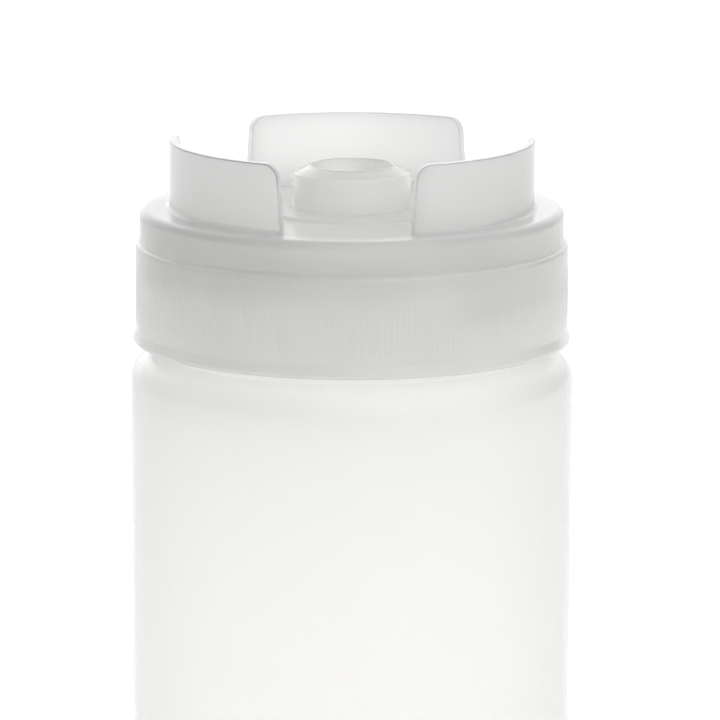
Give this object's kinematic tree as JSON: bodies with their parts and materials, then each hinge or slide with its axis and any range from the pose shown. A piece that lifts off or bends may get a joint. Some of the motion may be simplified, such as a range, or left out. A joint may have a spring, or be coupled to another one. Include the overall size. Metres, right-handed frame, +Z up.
{
  "type": "squeeze wash bottle",
  "caption": "Wide-mouth translucent squeeze bottle with a screw-on ribbed dispensing cap, curved stand walls and a raised self-closing slit valve.",
  "frame": {"origin": "centre of the standing ring under the base", "axes": "+Z up along the bottle's axis, towards the valve; one stand wall is centred on +Y, and the gap between the other two faces -Y"},
  "size_m": [0.0683, 0.0682, 0.184],
  "materials": {
    "bottle_plastic": "translucent natural low-density polyethylene, soft satin",
    "cap_plastic": "milky natural polypropylene, fine satin",
    "seal_rubber": "soft white seal, matt",
    "valve_silicone": "clear to milky silicone, slightly yellow, glossy"
  },
  "bodies": {
    "bottle": {"bottle": "bottle_plastic"},
    "seal_ring": {"cap_gasket": "seal_rubber"},
    "cap": {"dispensing_cap": "cap_plastic", "valve_body": "valve_silicone"},
    "petal_1": {"valve_petal_1": "valve_silicone"},
    "petal_2": {"valve_petal_2": "valve_silicone"},
    "petal_3": {"valve_petal_3": "valve_silicone"},
    "petal_4": {"valve_petal_4": "valve_silicone"}
  },
  "joints": [
    {"name": "cap_lift", "type": "slide", "parent": "bottle", "child": "seal_ring", "axis": [0, 0, 1], "range_m": [0, 0.0084]},
    {"name": "cap_turn", "type": "hinge", "parent": "seal_ring", "child": "cap", "pos_m": [0, 0, 0], "axis": [0, 0, 1], "range_deg": [0, 700]},
    {"name": "petal_1_open", "type": "hinge", "parent": "cap", "child": "petal_1", "pos_m": [0.00318, 0, 0.17665], "axis": [0, 1, 0], "range_deg": [0, 60], "stiffness_Nm_per_rad": 0.00025},
    {"name": "petal_2_open", "type": "hinge", "parent": "cap", "child": "petal_2", "pos_m": [0, 0.00318, 0.17665], "axis": [-1, 0, 0], "range_deg": [0, 60], "stiffness_Nm_per_rad": 0.00025},
    {"name": "petal_3_open", "type": "hinge", "parent": "cap", "child": "petal_3", "pos_m": [-0.00318, 0, 0.17665], "axis": [0, -1, 0], "range_deg": [0, 60], "stiffness_Nm_per_rad": 0.00025},
    {"name": "petal_4_open", "type": "hinge", "parent": "cap", "child": "petal_4", "pos_m": [0, -0.00318, 0.17665], "axis": [1, 0, 0], "range_deg": [0, 60], "stiffness_Nm_per_rad": 0.00025}
  ],
  "couplings": [
    {"joint": "cap_lift", "follows": "cap_turn", "m_per_rad": 0.0006737},
    {"joint": "petal_2_open", "follows": "petal_1_open", "ratio": 1},
    {"joint": "petal_3_open", "follows": "petal_1_open", "ratio": 1},
    {"joint": "petal_4_open", "follows": "petal_1_open", "ratio": 1}
  ]
}
